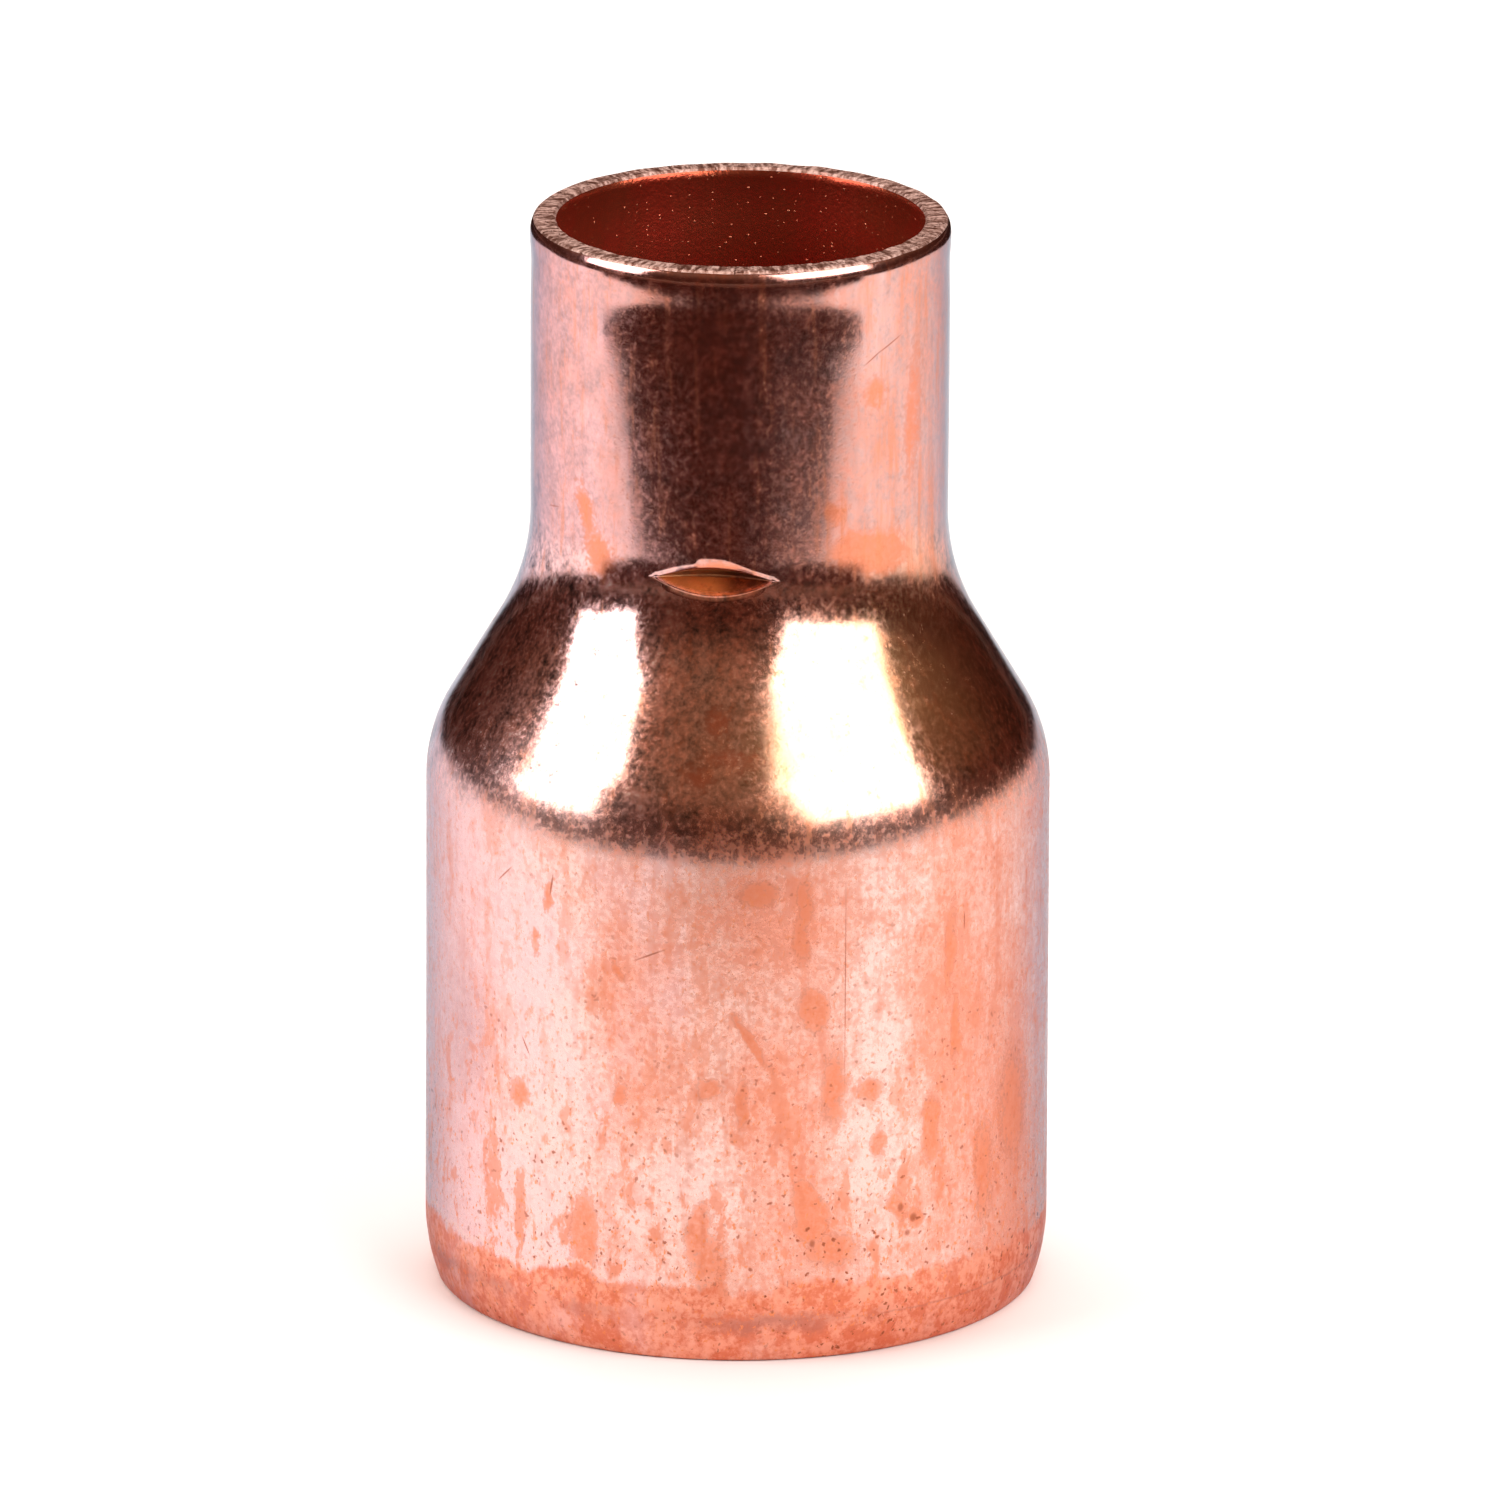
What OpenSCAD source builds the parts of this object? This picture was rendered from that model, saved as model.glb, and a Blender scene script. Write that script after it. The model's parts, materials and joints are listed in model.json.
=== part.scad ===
// Copper concentric reducer with plain solder sockets, formed in one piece from drawn tube.
// It stands on its large mouth. Z is the tube axis, z = 0 is the large mouth's end face.

/* [Tubes] */
// Outside diameter of the tube that the large socket takes
large_tube_d = 34.93; // [30:0.01:45]
// Outside diameter of the tube that the small socket takes
small_tube_d = 22.23; // [15:0.01:27]
// Gap all round between a tube and its socket, which the solder fills
solder_gap = 0.06; // [0.03:0.01:0.12]

/* [Body] */
// Wall thickness of the fitting
wall = 1.525; // [1:0.005:2]
// Straight length of the large end, from its mouth to the shoulder
large_straight = 31.6; // [20:0.1:40]
// Straight length of the small end, from the neck to its mouth
small_straight = 18.15; // [12:0.1:26]
// Angle of the cone's side to the tube axis
cone_angle = 31; // [22:1:45]
// Outside radius of the rounded shoulder between the large end and the cone
shoulder_r = 9.5; // [4:0.1:12]
// Outside radius of the hollow curve between the cone and the small end
neck_r = 14; // [4:0.1:16]

/* [Mouths] */
// Length over which the large mouth is drawn in on its outside
nose_length = 4; // [2:0.1:6]
// How far the large mouth is drawn in at its end face
nose_depth = 0.75; // [0.2:0.05:1]
// Radius of the large mouth's outer edge
large_edge_r = 0.2; // [0.1:0.05:0.4]
// Length of the slight outward flare at the small mouth
flare_length = 2.2; // [1:0.1:4]
// How far the small mouth flares outward
flare_out = 0.12; // [0.05:0.01:0.3]
// Radius of the small mouth's outer edge
small_edge_r = 0.5; // [0.2:0.05:0.8]
// Chamfer inside each mouth, which leads the tube in
lead_in = 0.15; // [0.1:0.05:0.4]

/* [Tube stops] */
// Number of punched stops, evenly spaced round the neck
stop_count = 2; // [1:1:4]
// Direction of the first stop, from the front towards the right
stop_angle = -7; // [-45:1:45]
// Distance of the bumps' top edge below the end of the small socket
stop_gap = 0.02; // [0:0.01:1]
// How far each stop's bump stands into the bore
stop_reach = 0.85; // [0.6:0.05:1.2]
// Wall left between the punch mark and the bump inside
stop_wall = 0.9; // [0.7:0.05:1.3]
// Radius of the disc-shaped punch that makes a stop
punch_r = 8; // [6:0.5:11]
// Angle of each side of the punch's edge to its middle plane
punch_side_angle = 30; // [20:1:45]
// Width of the flat on the punch's edge
punch_edge_w = 0.25; // [0.1:0.05:0.6]

/* [Hidden] */
$fn = 128;

large_bore_r = large_tube_d / 2 + solder_gap;
small_bore_r = small_tube_d / 2 + solder_gap;
large_r = large_bore_r + wall;
small_r = small_bore_r + wall;

// Both curves become smaller together where the step in radius has no room for them
step = large_r - small_r;
curve_rise = 1 - cos(cone_angle);
curve_fit = min(1, 0.95 * step / ((shoulder_r + neck_r) * curve_rise));
shoulder = shoulder_r * curve_fit;
neck = neck_r * curve_fit;
cone_side = (step - (shoulder + neck) * curve_rise) / sin(cone_angle);

shoulder_z = large_straight;
neck_z = shoulder_z + (shoulder + neck) * sin(cone_angle) + cone_side * cos(cone_angle);
total_h = neck_z + small_straight;

// The mouths' edges are limited by the wall, so that each end keeps a flat face
large_edge_fit = min(1, 0.8 * wall / (nose_depth + large_edge_r + lead_in));
nose_in = nose_depth * large_edge_fit;
large_edge = large_edge_r * large_edge_fit;
large_lead_in = lead_in * large_edge_fit;
nose_arc_r = (pow(nose_length, 2) + pow(nose_in, 2)) / (2 * nose_in);
small_edge = min(small_edge_r, wall / 2);
rim_r = small_r + flare_out;

// The punch is a disc whose axis stands upright beside the neck, and its edge is a blunt V
punch_depth = wall + stop_reach - stop_wall;
punch_axis = small_r + punch_r - punch_depth;
flank_slope = tan(punch_side_angle);
edge_growth = (1 - sin(punch_side_angle)) / cos(punch_side_angle);
bump_half_h = punch_edge_w / 2 + stop_wall * edge_growth + stop_reach * flank_slope;
stop_z = neck_z - stop_gap - bump_half_h;

past = 1;
copper = "#d98c72";

// Half section of a solid whose side keeps a distance `inset` inside the fitting's outside
module half_outline(inset) {
    shoulder_centre = [large_r - shoulder, shoulder_z];
    neck_centre = [small_r + neck, neck_z];
    across_cone = [cos(cone_angle), sin(cone_angle)];
    square([large_r - inset, shoulder_z]);
    intersection() {
        translate(shoulder_centre) circle(shoulder - inset);
        square([large_r, total_h]);
    }
    difference() {
        polygon([
            [0, shoulder_z],
            shoulder_centre,
            shoulder_centre + (shoulder - inset) * across_cone,
            neck_centre - (neck + inset) * across_cone,
            neck_centre,
            [0, neck_z]
        ]);
        translate(neck_centre) circle(neck + inset);
    }
    translate([0, neck_z]) square([small_r - inset, small_straight]);
}

// What the large mouth loses by being drawn in, and at its rounded outer edge
module large_nose_cut() {
    corner_r = large_r - nose_in;
    difference() {
        translate([large_r - nose_arc_r, -past]) square([nose_arc_r + past, nose_length + past]);
        translate([large_r - nose_arc_r, nose_length]) circle(nose_arc_r);
    }
    difference() {
        translate([corner_r - large_edge, -past]) square([large_edge + past, large_edge + past]);
        translate([corner_r - large_edge, large_edge]) circle(large_edge);
    }
}

// The small mouth's flare with its rounded outer edge
module small_flare() {
    polygon([
        [small_bore_r, total_h - flare_length],
        [small_r, total_h - flare_length],
        [rim_r, total_h - small_edge],
        [rim_r - small_edge, total_h],
        [small_bore_r, total_h]
    ]);
    translate([rim_r - small_edge, total_h - small_edge]) circle(small_edge);
}

// Chamfer that leads a tube into a mouth at height z, with `inward` +1 upwards or -1 downwards
module lead_in_cut(bore_r, chamfer, z, inward) {
    polygon([
        [0, z - inward * past],
        [bore_r + chamfer + past, z - inward * past],
        [bore_r - past, z + inward * (chamfer + past)],
        [0, z + inward * (chamfer + past)]
    ]);
}

module outside() {
    rotate_extrude() {
        difference() {
            half_outline(0);
            large_nose_cut();
            translate([small_r - small_edge, total_h - small_edge]) square(2 * small_edge);
        }
        small_flare();
    }
}

module inside() {
    rotate_extrude() {
        half_outline(wall);
        translate([0, -past]) square([large_bore_r, 2 * past]);
        translate([0, total_h - past]) square([small_bore_r, 2 * past]);
        lead_in_cut(large_bore_r, large_lead_in, 0, 1);
        lead_in_cut(small_bore_r, lead_in, total_h, -1);
    }
}

// The punch at every stop, grown by `grow` all round
module punches(grow) {
    grown_r = punch_r + grow;
    edge_half_w = punch_edge_w / 2 + grow * edge_growth;
    middle_half_w = edge_half_w + grown_r * flank_slope;
    for (i = [0 : stop_count - 1])
        rotate([0, 0, stop_angle + i * 360 / stop_count])
            translate([0, -punch_axis, stop_z])
                rotate_extrude()
                    polygon([
                        [0, -middle_half_w],
                        [grown_r, -edge_half_w],
                        [grown_r, edge_half_w],
                        [0, middle_half_w]
                    ]);
}

// The stops' bumps, which reach from the middle of the wall into the bore
module bumps() {
    intersection() {
        punches(stop_wall);
        rotate_extrude() half_outline(wall / 2);
    }
}

module reducer_body() {
    color(copper)
    difference() {
        union() {
            difference() {
                outside();
                inside();
            }
            bumps();
        }
        punches(0);
    }
}

reducer_body();
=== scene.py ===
import json
import math

import bpy
import numpy as np
from mathutils import Matrix, Vector


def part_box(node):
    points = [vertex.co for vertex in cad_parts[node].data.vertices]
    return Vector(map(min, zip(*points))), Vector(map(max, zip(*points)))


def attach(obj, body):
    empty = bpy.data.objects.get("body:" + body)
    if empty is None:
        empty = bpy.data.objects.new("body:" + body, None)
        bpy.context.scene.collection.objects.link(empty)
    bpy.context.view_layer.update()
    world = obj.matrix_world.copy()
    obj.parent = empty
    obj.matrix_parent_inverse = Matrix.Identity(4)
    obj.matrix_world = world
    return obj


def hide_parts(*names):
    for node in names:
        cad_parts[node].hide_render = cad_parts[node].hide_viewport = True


# A drawn copper reducer standing on its wide socket, in a small tabletop studio.
# Sizes in the dictionaries are millimetres and degrees unless a note says otherwise.

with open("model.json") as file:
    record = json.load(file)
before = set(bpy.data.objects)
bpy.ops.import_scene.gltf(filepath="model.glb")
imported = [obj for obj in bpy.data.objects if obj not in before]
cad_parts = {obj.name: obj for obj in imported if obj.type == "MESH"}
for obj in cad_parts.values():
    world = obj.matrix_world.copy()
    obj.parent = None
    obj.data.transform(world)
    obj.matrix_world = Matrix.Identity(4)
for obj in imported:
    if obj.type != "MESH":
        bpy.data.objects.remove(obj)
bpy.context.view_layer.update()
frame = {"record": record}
print("frame loaded")

metre = 0.001                                     # one millimetre in scene units
boxLow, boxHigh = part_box("reducer_body")
socketRadius = {m["name"]: m["dims"]["r_mm"] for m in frame["record"]["mounts"] if m["kind"] == "bore"}
overallHeight = boxHigh.z / metre
cupRadius = boxHigh.x / metre
cupBore = socketRadius["large_socket"]
neckBore = socketRadius["small_socket"]
wallThickness = cupRadius - cupBore
neckRadius = neckBore + wallThickness


# ---- camera

camera = {
    "lens": 450.0,
    "sensor": 36.0,
    "distance": 1143.0,
    "elevation": 17.07,
    "roll": 0.275,
    "shiftX": 0.00786,                            # shares of the frame's width
    "shiftY": -0.0033,
}


def placeCamera(spec):
    data = bpy.data.cameras.new("camera")
    data.lens = spec["lens"]
    data.sensor_width = spec["sensor"]
    data.shift_x = spec["shiftX"]
    data.shift_y = spec["shiftY"]
    data.clip_start = 0.05
    data.clip_end = 20
    holder = bpy.data.objects.new("camera", data)
    bpy.context.collection.objects.link(holder)
    lift = math.radians(spec["elevation"])
    back = Vector((0, -math.cos(lift), math.sin(lift)))
    middle = Vector((0, 0, overallHeight / 2 * metre))
    roll = Matrix.Rotation(math.radians(spec["roll"]), 3, "Z")
    turn = (-back).to_track_quat("-Z", "Y").to_matrix() @ roll
    holder.matrix_world = Matrix.Translation(middle + back * spec["distance"] * metre) @ turn.to_4x4()
    bpy.context.scene.camera = holder


placeCamera(camera)


# ---- helpers for node trees

def put(tree, kind, inputs=None, **settings):
    # Adds one node; an input is a plain value or another node's output.
    made = tree.nodes.new("ShaderNode" + kind)
    for name, value in settings.items():
        setattr(made, name, value)
    for name, value in (inputs or {}).items():
        if isinstance(value, bpy.types.NodeSocket):
            tree.links.new(value, made.inputs[name])
        else:
            made.inputs[name].default_value = value
    return made


def maths(tree, operation, *values, clamp=False):
    node = put(tree, "Math", dict(enumerate(values)), operation=operation)
    node.use_clamp = clamp
    return node.outputs[0]


def times(tree, first, second):
    return maths(tree, "MULTIPLY", first, second)


def larger(tree, first, second):
    return maths(tree, "MAXIMUM", first, second)


def vectorMaths(tree, operation, *values):
    node = put(tree, "VectorMath", dict(enumerate(values)), operation=operation)
    return node.outputs["Value" if operation in ("LENGTH", "DOT_PRODUCT") else "Vector"]


def ramp(tree, value, low, high, start=0.0, end=1.0):
    # Smooth step from start to end while value goes from low to high.
    limits = {"Value": value, "From Min": low, "From Max": high, "To Min": start, "To Max": end}
    node = put(tree, "MapRange", limits, interpolation_type="SMOOTHSTEP")
    return node.outputs["Result"]


def noise(tree, place, size, detail=3.0, rough=0.55, stretch=(1, 1, 1), shift=(0, 0, 0)):
    # Noise whose lumps are about size millimetres, longer along an axis where stretch is larger.
    shrink = [1 / (size * part) for part in stretch]
    lumps = put(tree, "Mapping", {"Vector": place, "Location": shift, "Scale": shrink}).outputs[0]
    look = {"Vector": lumps, "Detail": detail, "Roughness": rough, "Scale": 1.0}
    return put(tree, "TexNoise", look).outputs["Fac"]


def mixColour(tree, amount, first, second):
    # The first where amount is 0, the second where it is 1; each is an output or three numbers.
    sides = [side if isinstance(side, bpy.types.NodeSocket) else (*side, 1) for side in (first, second)]
    node = put(tree, "Mix", data_type="RGBA", clamp_factor=True)
    for index, value in ((0, amount), (6, sides[0]), (7, sides[1])):
        if isinstance(value, bpy.types.NodeSocket):
            tree.links.new(value, node.inputs[index])
        else:
            node.inputs[index].default_value = value
    return node.outputs[2]


def scaled(tree, vector, amount):
    return put(tree, "VectorMath", {0: vector, "Scale": amount}, operation="SCALE").outputs["Vector"]


# ---- studio

studio = {
    "floorHalf": 4000.0,
    "floorColour": (0.9, 0.9, 0.9),
    # reflections show the pale floor as far as this outline, given for its right half, front to back
    "paper": [(0, -118), (72, -130), (150, -108), (175, -107), (240, -68), (430, -122), (430, 260)],
    "paperTurn": -5.0,                            # the outline is turned this far round the fitting
    "clothReach": 3.2,                            # dark cloth runs from there to this many times as far
    "clothColour": (0.07, 0.0225, 0.0155),
    "farReach": 12.0,                             # and a paler one on to here
    "farColour": (0.20, 0.11, 0.08),
    "cardLift": 1.0,                              # above the floor
    "roomLow": (0.085, 0.031, 0.019),
    "roomHigh": (0.26, 0.15, 0.10),
    "roomFrom": 0.15,                             # upward share of a direction where the room turns lighter
    "roomTo": 0.62,
    "ceiling": (0.85, 0.62, 0.50),
    "ceilingFrom": 0.79,
    "ceilingTo": 0.95,
    "leftBox": {"azimuth": -74, "elevation": 27, "distance": 800, "wide": 500, "tall": 520, "power": 5.1},
    "rightBox": {"azimuth": 50, "elevation": 31, "distance": 800, "wide": 740, "tall": 510, "power": 5.1},
    "topBox": {"azimuth": 180, "elevation": 64, "distance": 1300, "wide": 1500, "tall": 1500, "power": 2.5},
}


def plainMaterial(name, colour, roughness):
    material = bpy.data.materials.new(name)
    material.use_nodes = True
    shader = material.node_tree.nodes["Principled BSDF"]
    shader.inputs["Base Color"].default_value = (*colour, 1)
    shader.inputs["Roughness"].default_value = roughness
    shader.inputs["Specular IOR Level"].default_value = 0.2
    return material


def glowMaterial(name, colour):
    material = bpy.data.materials.new(name)
    material.use_nodes = True
    tree = material.node_tree
    tree.nodes.clear()
    glow = put(tree, "Emission", {"Color": (*colour, 1), "Strength": 1.0})
    put(tree, "OutputMaterial", {"Surface": glow.outputs[0]})
    return material


def flatPiece(name, corners, faces, material):
    mesh = bpy.data.meshes.new(name)
    mesh.from_pydata([Vector(c) * metre for c in corners], [], faces)
    mesh.materials.append(material)
    piece = bpy.data.objects.new(name, mesh)
    bpy.context.collection.objects.link(piece)
    return piece


def directionTo(azimuth, elevation):
    a = math.radians(azimuth)
    e = math.radians(elevation)
    return Vector((math.sin(a) * math.cos(e), -math.cos(a) * math.cos(e), math.sin(e)))


def softBox(name, spec):
    light = bpy.data.lights.new(name, "AREA")
    light.shape = "RECTANGLE"
    light.size = spec["wide"] * metre
    light.size_y = spec["tall"] * metre
    light.energy = spec["power"] * math.pi * light.size * light.size_y    # watts that give this radiance
    holder = bpy.data.objects.new(name, light)
    bpy.context.collection.objects.link(holder)
    out = directionTo(spec["azimuth"], spec["elevation"])
    middle = Vector((0, 0, overallHeight / 2 * metre))
    turn = out.to_track_quat("Z", "Y").to_matrix().to_4x4()
    holder.matrix_world = Matrix.Translation(middle + out * spec["distance"] * metre) @ turn
    return holder


def mirrorCard(name, outline, inner, outer, lift, colour):
    # A flat frame that shows only in reflections: the camera and the floor's light miss it.
    count = len(outline)
    corners = [(x * k, y * k, lift) for k in (inner, outer) for x, y in outline]
    faces = [(i, count + i, count + (i + 1) % count, (i + 1) % count) for i in range(count)]
    card = flatPiece(name, corners, faces, glowMaterial(name + "Paint", colour))
    card.visible_camera = False
    card.visible_diffuse = False
    card.visible_shadow = False
    card.visible_transmission = False
    card.visible_volume_scatter = False


def buildRoom(spec):
    # Reflections show a dim warm room with a pale ceiling; the camera sees plain white.
    world = bpy.data.worlds.new("studioRoom")
    bpy.context.scene.world = world
    world.use_nodes = True
    tree = world.node_tree
    tree.nodes.clear()
    toward = put(tree, "TexCoord").outputs["Generated"]
    upward = put(tree, "SeparateXYZ", {0: toward}).outputs["Z"]
    high = ramp(tree, upward, spec["roomFrom"], spec["roomTo"])
    overhead = ramp(tree, upward, spec["ceilingFrom"], spec["ceilingTo"])
    colour = mixColour(tree, high, spec["roomLow"], spec["roomHigh"])
    colour = mixColour(tree, overhead, colour, spec["ceiling"])
    room = put(tree, "Background", {"Color": colour}).outputs[0]
    white = put(tree, "Background", {"Color": (1, 1, 1, 1)}).outputs[0]
    fromCamera = put(tree, "LightPath").outputs["Is Camera Ray"]
    mix = put(tree, "MixShader", {0: fromCamera, 1: room, 2: white}).outputs[0]
    put(tree, "OutputWorld", {"Surface": mix})


def buildStudio(spec):
    half = spec["floorHalf"]
    floorPaint = plainMaterial("paleFloor", spec["floorColour"], 0.8)
    square = [(-half, -half, 0), (half, -half, 0), (half, half, 0), (-half, half, 0)]
    flatPiece("studioFloor", square, [(0, 1, 2, 3)], floorPaint)
    outline = spec["paper"] + [(-x, y) for x, y in reversed(spec["paper"]) if x > 0]
    turn = Matrix.Rotation(math.radians(spec["paperTurn"]), 2)
    outline = [tuple(turn @ Vector(corner)) for corner in outline]
    lift = spec["cardLift"]
    mirrorCard("nearCloth", outline, 1.0, spec["clothReach"], lift, spec["clothColour"])
    mirrorCard("farCloth", outline, spec["clothReach"], spec["farReach"], lift, spec["farColour"])
    for name in ("leftBox", "rightBox"):
        softBox(name, spec[name])
    softBox("topBox", spec["topBox"]).visible_glossy = False
    buildRoom(spec)
    bpy.context.scene.view_settings.view_transform = "Standard"


buildStudio(studio)
print("studio built")


# ---- the fitting's shape

body = {
    "coneAngle": 31.0,
    "shoulderCurve": 9.5,
    "neckCurve": 14.0,
    "cupLength": 31.6,                            # straight part below the shoulder
    "noseLength": 4.0,
    "noseDepth": 0.75,
    "noseEdge": 0.2,
    "leadIn": 0.15,
    "flareOut": 0.055,
    "flareFrom": 2.7,                             # depths below the rim between which the lip flares
    "flareTo": 1.1,
    "rimEdge": 0.42,                              # the rim's outer edge comes in by this
    "rimTall": 1.0,                               # over this height
    "sawnFrom": 1.15,                             # radians round the edge where the sawn face starts
    "pinchDepth": 0.035,                          # slight waist just under the flare
    "pinchBelow": 3.0,
    "pinchHalf": 1.5,
    "creaseDepth": 0.02,                          # tool mark that runs round above the nose
    "creaseHeight": 2.6,
    "creaseHalf": 0.22,
}
stops = {
    "angles": (-7.0, 173.0),                      # round from the front
    "below": 19.3,                                # from the small mouth to the middle of a stop
    "punchRadius": 8.0,
    "depth": 1.475,
    "sideAngle": 31.0,
    "reach": 26.0,                                # the mark lies within this angle to each side
    "band": 4.0,                                  # rings are gathered this far above and below
    "openRings": 1.0,                             # those within this of the middle fill the opening
    "restOpening": 0.7,                           # half height that they keep away from the stops
    "leastOpening": 0.14,                         # and at a stop's ends
    "easeFrom": 18.0,                             # degrees off a stop where one turns into the other
    "easeOver": 8.0,
    "rollDepth": 0.13,                            # the upper edge is dragged inwards
    "rollTo": 18.5,
    "rollEase": 2.5,
    "rollWidth": 0.17,
    "tornWidth": 0.45,                            # and more of it between these angles
    "tornFrom": -5.0,
    "tornTo": 10.0,
    "tornEaseIn": 0.9,
    "tornEaseOut": 7.0,
    "bumpWall": 0.9,                              # inside, the wall follows the punch this much larger
    "bumpBlunt": 0.55,
    "bumpReach": 40.0,
}
columns = {"fineStep": 0.6, "coarseStep": 1.5, "fineHalf": 21.0}    # degrees, fine at the stops
# Unevenness: how deep, how many waves, how many turns round each may have, length along the wall, seed.
ripples = {
    "outOfRound": {"depth": 0.02, "waves": 5, "turns": (2, 4), "pitch": 60, "seed": 3},
    "flutes": {"depth": 0.004, "waves": 14, "turns": (7, 22), "pitch": 35, "seed": 5},
    "shallow": {"depth": 0.0016, "waves": 24, "turns": (20, 60), "pitch": 9, "seed": 9},
    "rim": {"depth": 0.02, "waves": 10, "turns": (3, 30), "pitch": 50, "seed": 11},
    "innerEdge": {"depth": 0.03, "waves": 12, "turns": (5, 60), "pitch": 50, "seed": 13},
    "sawn": {"depth": 0.015, "waves": 20, "turns": (20, 90), "pitch": 3, "seed": 17},
    "largeFace": {"depth": 0.01, "waves": 16, "turns": (20, 90), "pitch": 3, "seed": 19},
    "bore": {"depth": 0.01, "waves": 12, "turns": (3, 20), "pitch": 20, "seed": 23},
}
faceSpread = 4.0                                  # a sawn face counts as this wide for its unevenness
coneAngle = math.radians(body["coneAngle"])
punchSlope = math.tan(math.radians(stops["sideAngle"]))
shoulderTop = body["cupLength"] + body["shoulderCurve"] * math.sin(coneAngle)
curveRise = (body["shoulderCurve"] + body["neckCurve"]) * (1 - math.cos(coneAngle))
coneSide = (cupRadius - neckRadius - curveRise) / math.sin(coneAngle)
coneTop = shoulderTop + coneSide * math.cos(coneAngle)
neckStart = coneTop + body["neckCurve"] * math.sin(coneAngle)
stopHeight = overallHeight - stops["below"]
punchAxis = neckRadius + stops["punchRadius"] - stops["depth"]


def smooth(share):
    share = np.clip(share, 0, 1)
    return share * share * (3 - 2 * share)


def sideRadius(z, inset):
    # Radius of the wall at height z, at a distance inset inside the outside surface.
    shoulder = body["shoulderCurve"] - inset
    neck = body["neckCurve"] + inset
    shoulderEnd = body["cupLength"] + shoulder * math.sin(coneAngle)
    neckBegin = neckStart - neck * math.sin(coneAngle)
    up = np.clip(z - body["cupLength"], 0, shoulder * math.sin(coneAngle))
    onShoulder = cupRadius - body["shoulderCurve"] + np.sqrt(shoulder**2 - up**2)
    down = np.clip(neckStart - z, 0, neck * math.sin(coneAngle))
    onNeck = neckRadius + body["neckCurve"] - np.sqrt(neck**2 - down**2)
    coneFoot = cupRadius - body["shoulderCurve"] + shoulder * math.cos(coneAngle)
    onCone = coneFoot - (z - shoulderEnd) * math.tan(coneAngle)
    return np.where(z < shoulderEnd, onShoulder, np.where(z < neckBegin, onCone, onNeck))


def outsideRadius(z):
    # The plain profile with its drawn-in nose, edge, flare, waist and tool mark.
    nose = body["noseLength"]
    noseArc = (nose**2 + body["noseDepth"] ** 2) / (2 * body["noseDepth"])
    down = np.clip(nose - z, 0, nose)
    r = sideRadius(z, 0.0) - noseArc + np.sqrt(noseArc**2 - down**2)
    edge = body["noseEdge"]
    low = np.clip(edge - z, 0, edge)
    r = r - edge + np.sqrt(edge**2 - low**2)
    depth = overallHeight - z
    r = r + body["flareOut"] * smooth((body["flareFrom"] - depth) / (body["flareFrom"] - body["flareTo"]))
    r = r - body["pinchDepth"] * np.exp(-(((depth - body["pinchBelow"]) / body["pinchHalf"]) ** 2))
    return r - body["creaseDepth"] * np.exp(-(((z - body["creaseHeight"]) / body["creaseHalf"]) ** 2))


def spaced(stretches):
    # Heights along the wall from a list of (start, end, step).
    out = []
    for start, end, step in stretches:
        count = max(1, round(abs(end - start) / step))
        out += list(np.linspace(start, end, count, endpoint=False))
    out.append(stretches[-1][1])
    return np.array(out)


def gatheredAngles():
    # Radians round the axis, closer together at the stops.
    half = columns["fineHalf"]
    marks = []
    for k, centre in enumerate(stops["angles"]):
        following = stops["angles"][(k + 1) % 2] + (360 if k == 1 else 0)
        marks += list(np.arange(centre - half, centre + half, columns["fineStep"]))
        start = centre + half
        end = following - half
        count = round((end - start) / columns["coarseStep"])
        marks += list(np.linspace(start, end, count, endpoint=False))
    return np.radians(np.array(marks))


def fromStop(angle, centre):
    # Signed angle from a stop's direction, in radians.
    return (angle - math.radians(centre) + math.pi) % (2 * math.pi) - math.pi


def ripple(kind, angle, z):
    # Smooth seamless unevenness round and along the wall, about -1 to 1.
    spec = ripples[kind]
    dice = np.random.RandomState(spec["seed"])
    total = np.zeros(np.broadcast(angle, z).shape)
    for _ in range(spec["waves"]):
        m = dice.randint(spec["turns"][0], spec["turns"][1] + 1)
        k = dice.uniform(-1, 1) * 2 * math.pi / spec["pitch"]
        total += np.cos(m * angle + k * z + dice.uniform(0, 2 * math.pi))
    return total / math.sqrt(spec["waves"])


def uneven(kind, angle, z):
    # The same in millimetres.
    return ripples[kind]["depth"] * ripple(kind, angle, z)


def rollWidth(off):
    # How far above a stop's upper edge the metal is dragged in; off is in degrees from its middle.
    tornIn = np.clip((off - stops["tornFrom"]) / stops["tornEaseIn"], 0, 1)
    tornOut = np.clip((stops["tornTo"] - off) / stops["tornEaseOut"], 0, 1)
    return stops["rollWidth"] + stops["tornWidth"] * tornIn * tornOut


def edgeHeight(off, surface):
    # Half height of a stop's opening, for a wall of radius surface, at an angle off its middle.
    reach = np.sqrt(punchAxis**2 + surface**2 - 2 * punchAxis * surface * np.cos(off))
    return (stops["punchRadius"] - reach) * punchSlope


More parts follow.
